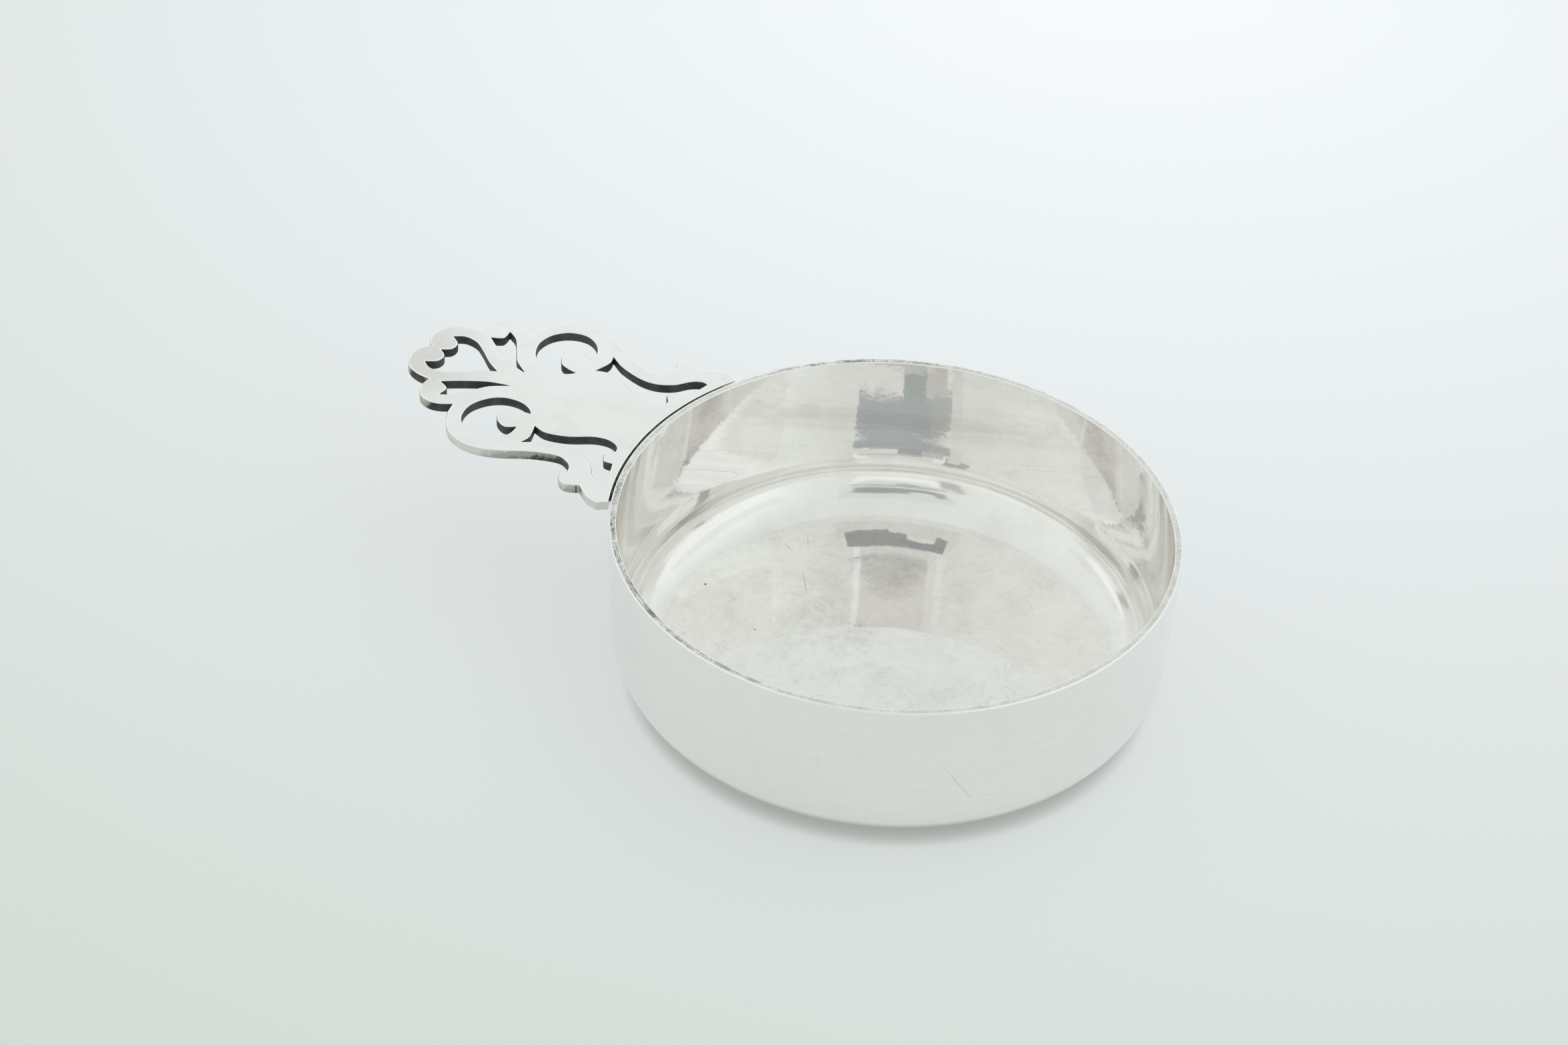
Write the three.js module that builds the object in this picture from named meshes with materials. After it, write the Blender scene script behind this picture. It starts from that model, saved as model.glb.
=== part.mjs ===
// Porridge bowl: a round silver bowl with one flat pierced handle soldered on level with its rim.
// Millimetres, +Z up. The bowl stands on z = 0, and the handle runs along -X. The origin is the
// middle of the footprint, halfway between the handle's tip and the far side of the rim.

import * as THREE from 'three';

// Bowl
const RIM_RADIUS = 63.5;          // outside of the rim, 127 mm across
const BOWL_HEIGHT = 40.7;         // from the table to the top of the rim
const RIM_THICKNESS = 1.7;        // hammered thick at the top, thinning steadily down the wall
const WALL_THICKNESS = 0.8;       // at the lower corner
const FLOOR_THICKNESS = 1.0;
const RIM_EDGE = 0.25;            // bevel on the two top edges of the rim
const CORNER_RADIUS = 13.8;       // outside corner between the wall and the floor
const FOOT_WIDTH = 2.0;           // flat ring that the bowl stands on
const FLOOR_RISE = 1.0;           // the floor is pushed up this much in the middle

// Handle
const HANDLE_REACH = 62.5;        // from the rim to the outermost lobes
const HANDLE_WIDTH = 58.2;        // across the shoulders beside the rim
const HANDLE_THICKNESS = 2.5;
const JOINT_WIDTH = 56.6;         // how wide the handle is where it meets the rim

// Solder seam between the rim and the handle
const SEAM_GAP = 0.5;
const SEAM_RECESS = 0.7;          // the solder lies this much below the handle's top

// Fineness of the faceted surfaces
const FACETS = 96;                // flats around the bowl
const CORNER_STEPS = 7;
const FLOOR_STEPS = 6;
const CURVE_STEPS = 2;            // steps to each point of the handle's pattern

// The wall is upright inside. Outside it is upright in a band beside the handle's end and the seam,
// and then leans in as it thins.
const straightBand = HANDLE_THICKNESS + 1;
const insideRadius = RIM_RADIUS - RIM_THICKNESS;
const flatRadius = insideRadius + WALL_THICKNESS - CORNER_RADIUS;
const domeRadius = flatRadius - FOOT_WIDTH;
const innerCorner = CORNER_RADIUS - WALL_THICKNESS;
const handleEndRadius = RIM_RADIUS + SEAM_GAP;
const facetAngle = 2 * Math.PI / FACETS;
const bowlX = HANDLE_REACH / 2;

const silver = { color: 0xd9d8d2, roughness: 0.16, metalness: 1 };
const oldSolder = { color: 0x4a4743, roughness: 0.6, metalness: 0.6 };

function namedMesh(name, geometry, finish) {
  const mesh = new THREE.Mesh(geometry, new THREE.MeshStandardMaterial(finish));
  mesh.name = name;
  return mesh;
}

// Points of a quarter circle in the bowl's section, from one angle to another in steps.
function sectionArc(radius, centreR, centreZ, fromAngle, toAngle) {
  const points = [];
  for (let i = 0; i <= CORNER_STEPS; i++) {
    const angle = fromAngle + (toAngle - fromAngle) * i / CORNER_STEPS;
    points.push([centreR + radius * Math.cos(angle), centreZ + radius * Math.sin(angle)]);
  }
  return points;
}

// The floor rises inside the foot ring, above and below alike, as half a wave of a cosine.
function domeHeight(radius) {
  return FLOOR_RISE * (1 + Math.cos(Math.PI * radius / domeRadius)) / 2;
}

function domePoints(z) {
  const points = [];
  for (let i = 0; i <= FLOOR_STEPS; i++) {
    const radius = domeRadius * i / FLOOR_STEPS;
    points.push([radius, z + domeHeight(radius)]);
  }
  return points;
}

function bowlGeometry() {
  const down = -Math.PI / 2;
  const section = [
    ...domePoints(0),
    ...sectionArc(CORNER_RADIUS, flatRadius, CORNER_RADIUS, down, 0),
    [RIM_RADIUS, BOWL_HEIGHT - straightBand],
    [RIM_RADIUS, BOWL_HEIGHT - RIM_EDGE],
    [RIM_RADIUS - RIM_EDGE, BOWL_HEIGHT],
    [insideRadius + RIM_EDGE, BOWL_HEIGHT],
    [insideRadius, BOWL_HEIGHT - RIM_EDGE],
    ...sectionArc(innerCorner, flatRadius, FLOOR_THICKNESS + innerCorner, 0, down),
    ...domePoints(FLOOR_THICKNESS).reverse(),
  ];
  const geometry = new THREE.LatheGeometry(section.map(([r, z]) => new THREE.Vector2(r, z)), FACETS);
  return geometry.rotateX(Math.PI / 2);
}

// The pattern of the handle, drawn for the half on the +Y side: [outward from the rim's outermost
// point, sideways from the handle's middle line]. Each run is one smooth curve between two cusps.
const outerEdge = [
  [[-3.5, 29.1], [-0.9, 28.6], [0.9, 27.5], [2.9, 26.0]],
  [[2.9, 26.0], [4.7, 26.9], [6.2, 27.3], [7.6, 26.8], [9.0, 25.3]],
  [[9.0, 25.3], [8.1, 23.5], [8.7, 21.4], [10.1, 20.2], [13.0, 19.5], [18.5, 21.4], [24.5, 24.9],
    [28.5, 26.6], [33.1, 27.2], [37.5, 25.9], [40.4, 23.4], [42.6, 19.8], [43.5, 16.3]],
  [[43.5, 16.3], [45.9, 17.8], [48.5, 18.4], [51.2, 17.6], [53.1, 15.4], [53.7, 13.4], [53.5, 11.1]],
  [[53.5, 11.1], [56.8, 11.0], [60.1, 9.5], [62.0, 6.6], [62.5, 3.6], [61.6, 1.4], [60.4, 0]],
];

const scrollOpening = [
  [[26.6, 9.5], [29.0, 9.8], [31.3, 10.8], [32.7, 13.5], [31.6, 15.7], [28.9, 16.9], [26.6, 15.5]],
  [[26.6, 15.5], [26.7, 18.7], [28.9, 21.7], [32.4, 23.1], [36.3, 22.0], [39.1, 18.9], [39.8, 14.5],
    [38.0, 10.3], [34.8, 7.7], [31.1, 7.1], [28.2, 8.0], [26.6, 9.5]],
];

const longSlot = [
  [[22.6, 19.6], [22.0, 17.0], [23.2, 12.9]],
  [[23.2, 12.9], [20.2, 13.7], [16.4, 12.8], [13.5, 11.4], [9.8, 9.0], [6.5, 8.2], [3.7, 9.2],
    [3.0, 11.5], [4.4, 13.5]],
  [[4.4, 13.5], [3.2, 15.3], [1.1, 15.2]],
  [[1.1, 15.2], [-0.2, 18.6], [-1.1, 22.4]],
  [[-1.1, 22.4], [0.5, 22.5], [2.7, 21.0], [5.1, 18.0], [8.7, 16.0], [13.0, 15.7], [18.8, 17.3],
    [22.6, 19.6]],
];

const smallSlot = [
  [[36.5, 3.1], [41.4, 4.6], [46.7, 7.7], [50.5, 10.4]],
  [[50.5, 10.4], [48.0, 11.8], [48.1, 14.7]],
  [[48.1, 14.7], [45.4, 12.9], [42.6, 8.9], [40.3, 5.8], [36.5, 3.1]],
];

const tipOpening = [
  [[42.1, 0], [45.6, 2.0], [49.5, 5.1], [52.5, 7.0], [55.7, 7.3], [58.0, 5.9]],
  [[58.0, 5.9], [55.9, 4.5], [55.3, 2.8], [55.8, 1.2], [57.5, 0]],
];

// The drawn pattern is stretched to the handle's reach and width.
const edgePoints = outerEdge.flat();
const alongScale = HANDLE_REACH / Math.max(...edgePoints.map(([along]) => along));
const acrossScale = HANDLE_WIDTH / 2 / Math.max(...edgePoints.map(([, across]) => across));

function patternPoint([along, across], side) {
  return new THREE.Vector2(-RIM_RADIUS - along * alongScale, across * acrossScale * side);
}

function addRuns(path, runs, side) {
  for (const run of runs) {
    path.splineThru(run.slice(1).map((point) => patternPoint(point, side)));
  }
}

function reversedRuns(runs) {
  return runs.map((run) => [...run].reverse()).reverse();
}

// A point on a circle round the bowl's axis, at a number of facets from the handle's middle line.
function facetPoint(radius, facets) {
  const angle = facets * facetAngle;
  return new THREE.Vector2(-radius * Math.cos(angle), radius * Math.sin(angle));
}

const jointFacets = Math.floor(Math.asin(JOINT_WIDTH / 2 / handleEndRadius) / facetAngle);

function facetRow(radius) {
  const row = [];
  for (let i = -jointFacets; i <= jointFacets; i++) {
    row.push(facetPoint(radius, i));
  }
  return row;
}

function jointCorner(side) {
  const across = JOINT_WIDTH / 2;
  return new THREE.Vector2(-Math.sqrt(handleEndRadius ** 2 - across ** 2), across * side);
}

function sideOpening(runs, side) {
  const opening = new THREE.Path();
  const start = patternPoint(runs[0][0], side);
  opening.moveTo(start.x, start.y);
  addRuns(opening, runs, side);
  return opening;
}

// The opening at the tip crosses the middle line: out along one side and back along the other.
function middleOpening(runs) {
  const opening = sideOpening(runs, 1);
  addRuns(opening, reversedRuns(runs), -1);
  return opening;
}

function handleGeometry() {
  const plate = new THREE.Shape();
  const corner = jointCorner(1);
  const [firstRun, ...otherRuns] = outerEdge;
  plate.moveTo(corner.x, corner.y);
  plate.splineThru(firstRun.map((point) => patternPoint(point, 1)));
  addRuns(plate, otherRuns, 1);
  addRuns(plate, reversedRuns(otherRuns), -1);
  const lastRun = [...firstRun].reverse().slice(1).map((point) => patternPoint(point, -1));
  plate.splineThru([...lastRun, jointCorner(-1)]);
  for (const point of facetRow(handleEndRadius)) {
    plate.lineTo(point.x, point.y);
  }
  for (const side of [1, -1]) {
    plate.holes.push(sideOpening(scrollOpening, side));
    plate.holes.push(sideOpening(longSlot, side));
    plate.holes.push(sideOpening(smallSlot, side));
  }
  plate.holes.push(middleOpening(tipOpening));
  const extrusion = { depth: HANDLE_THICKNESS, bevelEnabled: false, curveSegments: CURVE_STEPS };
  return new THREE.ExtrudeGeometry(plate, extrusion);
}

// The solder fills the gap between the flats of the rim and the flats of the handle's end.
function solderGeometry() {
  const outline = [...facetRow(RIM_RADIUS), ...facetRow(handleEndRadius).reverse()];
  const depth = HANDLE_THICKNESS - SEAM_RECESS;
  return new THREE.ExtrudeGeometry(new THREE.Shape(outline), { depth, bevelEnabled: false });
}

const part = new THREE.Group();
const onBowlAxis = new THREE.Group();
onBowlAxis.position.x = bowlX;
part.add(onBowlAxis);

onBowlAxis.add(namedMesh('bowl', bowlGeometry(), silver));

const handle = namedMesh('handle', handleGeometry(), silver);
handle.position.z = BOWL_HEIGHT - HANDLE_THICKNESS;
onBowlAxis.add(handle);

const solder = namedMesh('handle_solder', solderGeometry(), oldSolder);
solder.position.z = BOWL_HEIGHT - HANDLE_THICKNESS;
onBowlAxis.add(solder);

export default part;
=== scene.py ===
# %% [markdown]
# # A silver porridge bowl
# The real bowl is three pieces of metal: a round bowl raised from one disc of silver, a flat
# pierced handle sawn from thick plate, and the seam of solder that joins the two. The packed
# frame already has all three at the right size. This script keeps that frame and dresses it:
# each solid is replaced by a finer surface in the same place, with rounded edges and the
# finish of old polished silver.

# %% The frame and its size
import math

import bpy
import numpy as np
from mathutils import Matrix, Vector, geometry


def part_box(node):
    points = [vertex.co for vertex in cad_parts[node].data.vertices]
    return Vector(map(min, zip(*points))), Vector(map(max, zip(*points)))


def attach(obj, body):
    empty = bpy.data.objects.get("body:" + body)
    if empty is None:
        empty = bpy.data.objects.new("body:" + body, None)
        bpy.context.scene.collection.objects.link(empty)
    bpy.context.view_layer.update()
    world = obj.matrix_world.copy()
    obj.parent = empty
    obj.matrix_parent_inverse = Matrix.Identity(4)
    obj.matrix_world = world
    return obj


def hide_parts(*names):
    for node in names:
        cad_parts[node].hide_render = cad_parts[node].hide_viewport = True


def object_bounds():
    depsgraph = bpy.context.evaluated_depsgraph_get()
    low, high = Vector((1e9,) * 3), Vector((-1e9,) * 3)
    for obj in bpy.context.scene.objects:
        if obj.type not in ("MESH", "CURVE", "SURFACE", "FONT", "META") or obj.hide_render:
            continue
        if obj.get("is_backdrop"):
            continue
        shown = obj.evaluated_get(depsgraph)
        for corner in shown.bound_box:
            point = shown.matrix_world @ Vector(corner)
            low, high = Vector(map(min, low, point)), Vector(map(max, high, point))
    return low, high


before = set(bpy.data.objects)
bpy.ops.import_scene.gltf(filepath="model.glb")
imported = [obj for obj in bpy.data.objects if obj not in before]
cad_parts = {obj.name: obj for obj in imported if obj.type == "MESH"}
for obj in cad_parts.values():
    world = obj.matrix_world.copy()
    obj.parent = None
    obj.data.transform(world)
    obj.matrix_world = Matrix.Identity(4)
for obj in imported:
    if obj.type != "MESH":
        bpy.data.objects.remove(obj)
cad_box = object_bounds()
MM = 0.001

bowl_low, bowl_high = (np.array(corner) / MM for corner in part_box("bowl"))
handle_low, handle_high = (np.array(corner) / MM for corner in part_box("handle"))
solder_low, solder_high = (np.array(corner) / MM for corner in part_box("handle_solder"))
rim_radius = (bowl_high[0] - bowl_low[0]) / 2
axis_x = (bowl_high[0] + bowl_low[0]) / 2
rim_height = bowl_high[2]
print(f"the rim is {2 * rim_radius:.1f} mm across and {rim_height:.1f} mm high")
print(f"the bowl's axis stands at x = {axis_x:.2f} mm")

# %% [markdown]
# The camera comes first, because everything is judged through it. It looks down at the bowl
# from the front, with the handle to the left, and is turned a little about its own line of
# sight. A place, a point to aim at and a roll say all of that, and the three axes of the
# camera are worked out from them.

# %% The camera
CAMERA_PLACE = np.array([346.74, -633.45, 593.68])
CAMERA_AIM = np.array([9.85, -12.475, 40.7])
CAMERA_ROLL = math.radians(3.0494)
LENS = 93.22
SENSOR = 36.0


def unit(vector):
    """The vector divided by its own length."""
    return vector / np.linalg.norm(vector)


ahead = unit(CAMERA_AIM - CAMERA_PLACE)
level = unit(np.cross(ahead, [0, 0, 1]))
above = np.cross(level, ahead)
camera_right = math.cos(CAMERA_ROLL) * level + math.sin(CAMERA_ROLL) * above
camera_up = math.cos(CAMERA_ROLL) * above - math.sin(CAMERA_ROLL) * level
columns = np.column_stack([camera_right, camera_up, -ahead, CAMERA_PLACE * MM])

camera_data = bpy.data.cameras.new("camera")
camera_data.lens = LENS
camera_data.sensor_width = SENSOR
camera_data.clip_start = 0.01
camera = bpy.data.objects.new("camera", camera_data)
camera.matrix_world = Matrix([*columns.tolist(), [0, 0, 0, 1]])
bpy.context.collection.objects.link(camera)
bpy.context.scene.camera = camera
print(f"the camera stands {np.linalg.norm(CAMERA_PLACE - CAMERA_AIM):.0f} mm from what it aims at")

# %% [markdown]
# Every finish below is arithmetic on patterns, so it reads best as arithmetic. A Wire is one
# output of a node, and adding or multiplying wires adds the Math nodes that do it. A Net is
# the node tree of one material, and its one method adds any other node.

# %% Wires and nets


class Wire:
    """An output socket that can be added, multiplied and compared."""

    def __init__(self, net, socket):
        self.net = net
        self.socket = socket

    def calculate(self, operation, *values):
        node = self.net.add("ShaderNodeMath", {"operation": operation}, dict(enumerate(values)))
        return Wire(self.net, node.outputs[0])

    def __add__(self, other):
        return self.calculate("ADD", self, other)

    def __sub__(self, other):
        return self.calculate("SUBTRACT", self, other)

    def __mul__(self, other):
        return self.calculate("MULTIPLY", self, other)

    def __truediv__(self, other):
        return self.calculate("DIVIDE", self, other)

    def __abs__(self):
        return self.calculate("ABSOLUTE", self)

    __radd__ = __add__
    __rmul__ = __mul__

    def ramp(self, low, high, at_low=0.0, at_high=1.0):
        """Runs smoothly from one value to another while the wire runs from low to high."""
        sockets = {"Value": self, 1: low, 2: high, 3: at_low, 4: at_high}
        node = self.net.add("ShaderNodeMapRange", {"interpolation_type": "SMOOTHSTEP"}, sockets)
        return Wire(self.net, node.outputs[0])


class Net:
    """The nodes of one material or of the world."""

    def __init__(self, owner):
        owner.use_nodes = True
        self.tree = owner.node_tree
        self.tree.nodes.clear()

    def add(self, kind, settings=None, sockets=None):
        """Adds a node, sets its settings, and then sets or links its sockets."""
        node = self.tree.nodes.new(kind)
        for name, value in (settings or {}).items():
            setattr(node, name, value)
        for key, value in (sockets or {}).items():
            if isinstance(value, Wire):
                self.tree.links.new(value.socket, node.inputs[key])
            else:
                node.inputs[key].default_value = value
        return node

    def wire(self, kind, settings=None, sockets=None, output=0):
        """The same, and hands back one of the node's outputs as a Wire."""
        return Wire(self, self.add(kind, settings, sockets).outputs[output])

    def mix(self, factor, first, second):
        """A colour between two colours, each a wire or a colour."""
        sockets = {0: factor, 6: opaque(first), 7: opaque(second)}
        return self.wire("ShaderNodeMix", {"data_type": "RGBA"}, sockets, 2)

    def vector(self, operation, *values, output=0):
        """One step of vector arithmetic."""
        settings = {"operation": operation}
        return self.wire("ShaderNodeVectorMath", settings, dict(enumerate(values)), output)

    def measure(self, operation, *values):
        """Vector arithmetic that ends in one number: a distance, a length or a dot product."""
        return self.vector(operation, *values, output=1)

    def split(self, vector):
        """The three coordinates of a vector, as wires."""
        node = self.add("ShaderNodeSeparateXYZ", None, {0: vector})
        return [Wire(self, output) for output in node.outputs]

    def join(self, x, y, z):
        """A vector made of three coordinates."""
        return self.wire("ShaderNodeCombineXYZ", None, {0: x, 1: y, 2: z})

    def noise(self, place, scale, detail=2.0, roughness=0.5):
        """Cloudy noise from 0 to 1, whose clouds are about 1/scale millimetres wide."""
        sockets = {"Vector": place, "Scale": scale, "Detail": detail, "Roughness": roughness}
        return self.wire("ShaderNodeTexNoise", None, sockets)


def opaque(colour):
    """A colour given as three numbers gets its fourth, and a wire stays as it is."""
    return colour if isinstance(colour, Wire) else (*colour, 1.0)


print("wires and nets are ready")

# %% [markdown]
# The table is a plain pale sheet: one big square under the bowl. A matt paint alone would come
# out greyer than the real sheet, which is lit from all round, so for the camera and for what
# the silver mirrors a part of its colour is a glow. The glow is brightest behind the handle and
# falls off from there, and far away, where only the side of the bowl mirrors it, the sheet is
# one even tone. Under the rounded corner of the bowl hardly any light gets in, and an ambient
# occlusion node finds that narrow place and darkens it.

# %% The table
TABLE_HALF = 6000.0
TABLE_PAINT = (0.80, 0.84, 0.83)
TABLE_BRIGHT = (1.26, 1.27, 1.40)
TABLE_DIM = (0.52, 0.565, 0.49)
TABLE_GLOW = 0.6
BRIGHTEST = (-0.07, 0.32, 0.0)
TABLE_FALL = (-0.35, 0.85)
CONTACT_REACH = 0.0045
CONTACT_SHADE = (0.42, 0.42, 0.395)
FAR_TONE = (0.845, 0.89, 0.865)
FAR_FALL = (0.65, 1.4)
TABLE_DROP = 0.02


def placed(name, points, faces, materials=()):
    """A mesh object from points in millimetres and lists of corners."""
    mesh = bpy.data.meshes.new(name)
    mesh.from_pydata((np.asarray(points, float) * MM).tolist(), [], faces)
    mesh.update()
    for material in materials:
        mesh.materials.append(material)
    thing = bpy.data.objects.new(name, mesh)
    bpy.context.collection.objects.link(thing)
    return thing


table_paint = bpy.data.materials.new("table_paint")
net = Net(table_paint)
spot = net.wire("ShaderNodeTexCoord", output=3)
far = net.measure("DISTANCE", spot, BRIGHTEST)
tone = net.mix(far.ramp(*TABLE_FALL), TABLE_BRIGHT, TABLE_DIM)
matt = net.wire("ShaderNodeBsdfDiffuse", None, {"Color": opaque(TABLE_PAINT)})
clear = net.wire("ShaderNodeAmbientOcclusion", {"samples": 8}, {"Distance": CONTACT_REACH}, 1)
tone = net.mix(clear.ramp(0.25, 1.0, 1.0, 0.0), tone, CONTACT_SHADE)
tone = net.mix(far.ramp(*FAR_FALL), tone, FAR_TONE)
glow = net.wire("ShaderNodeEmission", None, {"Color": tone, "Strength": 1.0})
rays = net.add("ShaderNodeLightPath")
seen = Wire(net, rays.outputs["Is Camera Ray"]) + Wire(net, rays.outputs["Is Glossy Ray"])
mixed = net.wire("ShaderNodeMixShader", None, {0: seen * TABLE_GLOW, 1: matt, 2: glow})
net.add("ShaderNodeOutputMaterial", None, {"Surface": mixed})

signs = np.array([[-1, -1], [1, -1], [1, 1], [-1, 1]])
table_corners = np.column_stack([signs * TABLE_HALF, np.full(4, -TABLE_DROP)])
table = placed("table", table_corners, [(0, 1, 2, 3)], [table_paint])
table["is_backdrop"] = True
print(f"the table is {2 * TABLE_HALF / 1000:.0f} m wide")

# %% [markdown]
# Polished silver has almost no colour of its own: it shows what is round it. The bowl stands
# in a white tent, so the world is a very slightly green white, brightest on the right, where
# the light comes from, less bright on the left and dimmest between them.

# %% The tent
TENT = (0.77, 0.81, 0.775)
TENT_RIGHT = (0.965, 1.04, 0.99)
TENT_LEFT = (0.85, 0.89, 0.855)

RIM_CENTRE = np.array([axis_x, 0, rim_height])
sight = unit(CAMERA_PLACE - RIM_CENTRE)
side = unit(np.cross([0, 0, 1], sight))
upward = np.cross(sight, side)
toward = np.cross(side, [0, 0, 1])
CAMERA_DISTANCE = np.linalg.norm(CAMERA_PLACE - RIM_CENTRE)

world = bpy.data.worlds.new("tent")
bpy.context.scene.world = world
net = Net(world)
direction = net.wire("ShaderNodeTexCoord", output=0)
sideways = net.measure("DOT_PRODUCT", direction, tuple(side))
tone = net.mix(sideways.ramp(0.25, 1.0), TENT, TENT_RIGHT)
tone = net.mix(sideways.ramp(-1.0, -0.1, 1.0, 0.0), tone, TENT_LEFT)
glow = net.wire("ShaderNodeBackground", None, {"Color": tone, "Strength": 1.0})
net.add("ShaderNodeOutputWorld", None, {"Surface": glow})
print(f"the rim's middle is {CAMERA_DISTANCE:.0f} mm from the camera")

# %% [markdown]
# In front, over the camera, the tent is open on a dim room. That opening, and the dark things
# that stand round the camera, are the grey patches that shine back from the far wall and the
# floor of the bowl. White boards on both sides make the bright crescents in its corner. Each is
# a flat card that glows and that only reflections see. The ones in front stand square to the
# line of sight, and the boards stand round the bowl.

# %% The cards


def across_sight(corners, distance):
    """Points on a plane square to the line of sight, at a distance from the rim's middle. Each
    corner is [sideways, upward] from that line."""
    drawn = np.array(corners, float)
    return RIM_CENTRE + sight * distance + drawn[:, :1] * side + drawn[:, 1:] * upward


def around_bowl(corners, distance):
    """Points at a distance from the rim's middle. Each corner is [turn, climb] in degrees, the
    turn counted from the camera's side to the right."""
    turn, climb = np.radians(np.array(corners, float)).T[:, :, None]
    level = np.cos(turn) * toward + np.sin(turn) * side
    return RIM_CENTRE + distance * (np.cos(climb) * level + np.sin(climb) * [0, 0, 1])


def card(name, points, colour):
    """A glowing card that is seen only in reflections."""
    shine = bpy.data.materials.new(name)
    net = Net(shine)
    glow = net.wire("ShaderNodeEmission", None, {"Color": opaque(colour), "Strength": 1.0})
    net.add("ShaderNodeOutputMaterial", None, {"Surface": glow})
    thing = placed(name, points, [tuple(range(len(points)))], [shine])
    thing.visible_camera = False
    thing.visible_diffuse = False
    thing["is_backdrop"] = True


def upright(left, right, low, high):
    """The corners of a card with upright sides."""
    return [[left, low], [right, low], [right, high], [left, high]]


FAR, NEAR, NEARER = CAMERA_DISTANCE, 300.0, 299.0
BOARDS = 700.0
frame_of_white = [[-260, -50], [-190, -50], [-190, -215], [200, -215], [200, -60],
                  [290, -60], [290, -350], [-260, -350]]
dark_room = [[255, 75], [150, 50], [0, 44], [-133, 52], [-265, 86],
             [-265, 270], [-205, 270], [-198, 175], [-140, 150], [-60, 165], [-52, 235],
             [30, 235], [45, 265], [255, 265]]
near_strip = [[-100, -10], [-59, -11.5], [22, -13.5], [83, -7], [100, -5],
              [100, 12], [80, 11], [50, 9], [15, 4], [-59, 7], [-100, 8]]
cards = [
    ("tent_opening", across_sight(dark_room, FAR), (0.37, 0.39, 0.395)),
    ("by_the_camera", across_sight(upright(-238, 182, 0, 60), FAR), (0.735, 0.745, 0.715)),
    ("below_the_camera", across_sight(upright(-238, 182, -40, 0), FAR), (0.62, 0.635, 0.605)),
    ("left_bar", across_sight(upright(-290, -245, -40, 60), FAR), (0.85, 0.87, 0.85)),
    ("left_glow", across_sight(upright(-245, -190, -40, 60), FAR - 1), (0.79, 0.81, 0.79)),
    ("right_bar", across_sight(upright(188, 222, -40, 60), FAR), (0.88, 0.9, 0.88)),
    ("above_opening", across_sight(upright(-320, 300, 215, 480), FAR + 1), (0.72, 0.75, 0.715)),
    ("white_frame", across_sight(frame_of_white, FAR), (0.92, 0.96, 0.94)),
    ("near_strip", across_sight(near_strip, NEAR), (0.45, 0.49, 0.505)),
    ("near_brown", across_sight(upright(-100, -56, -11, 7), NEARER), (0.50, 0.53, 0.52)),
    ("near_cover", across_sight(upright(-125, -100, -40, 14), NEARER - 1), (0.74, 0.77, 0.73)),
    ("near_green", across_sight(upright(-42, 6, -30, -11), NEARER), (0.42, 0.465, 0.45)),
    ("near_light", across_sight(upright(6, 91, -30, -14), NEARER), (0.79, 0.80, 0.78)),
    ("near_pale", across_sight(upright(-88, -42, -30, -12), NEARER), (0.62, 0.62, 0.60)),
    ("near_edge", across_sight(upright(-42, 91, -40, -31), NEARER), (0.6, 0.61, 0.6)),
    ("right_board", around_bowl(upright(66, 124, 12, 30), BOARDS), (0.93, 0.965, 0.955)),
    ("right_shade", around_bowl(upright(56, 124, 30, 41), BOARDS), (0.845, 0.875, 0.85)),
    ("left_board", around_bowl(upright(-128, -92, 12, 27), BOARDS), (0.94, 0.98, 0.96)),
    ("left_shade", around_bowl(upright(-128, -86, 27, 36), BOARDS), (0.80, 0.82, 0.805)),
    ("left_gloom", across_sight(upright(-420, -262, -400, -42), FAR), (0.50, 0.52, 0.49)),
    ("back_sweep", around_bowl(upright(145, 215, 5, 27), BOARDS), (0.94, 0.97, 0.96)),
]
for name, points, colour in cards:
    card(name, points, colour)
print(f"{len(cards)} cards stand round the bowl")

# %% [markdown]
# A broad soft lamp high on the right gives the table its faint shadow under the bowl. The
# silver doesn't mirror it, so it adds no spot to the finish.

# %% The lamp
LAMP_PLACE = Vector((0.5, 0.7, 1.5))
LAMP_SIZE = 1.2
LAMP_POWER = 2.0
lamp_data = bpy.data.lights.new("soft_lamp", "AREA")
lamp_data.shape = "DISK"
lamp_data.size = LAMP_SIZE
lamp_data.energy = LAMP_POWER
lamp = bpy.data.objects.new("soft_lamp", lamp_data)
lamp.location = LAMP_PLACE
lamp.rotation_euler = LAMP_PLACE.to_track_quat("Z", "Y").to_euler()
lamp.visible_glossy = False
bpy.context.collection.objects.link(lamp)
print(f"the lamp is {LAMP_SIZE} m wide")

# %% [markdown]
# The bowl is raised from one disc with a hammer and then planished smooth, so its wall is
# thick at the rim and thins on the way down to a rounded corner. The floor is pushed up a
# little inside a narrow flat ring that the bowl stands on. Turned on an axis, such a form is
# one profile carried round a circle: every point of the surface is a place along the profile
# and an angle.

# %% The profile of the bowl
RIM_THICKNESS = 1.7
WALL_THICKNESS = 0.8
CORNER_RADIUS = 13.8
FOOT_WIDTH = 2.0
FLOOR_RISE = 1.0
STRAIGHT_BAND = 3.5
RIM_ROUNDING = 0.32
INNER_ROUNDING = 0.2
RIM_CROWN = 0.03
COLLAR = 0.05
RIM_BAND = 2.0

inside_radius = rim_radius - RIM_THICKNESS
flat_radius = inside_radius + WALL_THICKNESS - CORNER_RADIUS
dome_radius = flat_radius - FOOT_WIDTH
inner_corner = CORNER_RADIUS - WALL_THICKNESS


def dome(radius):
    """Half a wave of a cosine: the full rise in the middle and none at the foot ring."""
    inside = np.clip(radius / dome_radius, 0, 1)
    return FLOOR_RISE * (1 + np.cos(np.pi * inside)) / 2


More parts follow.
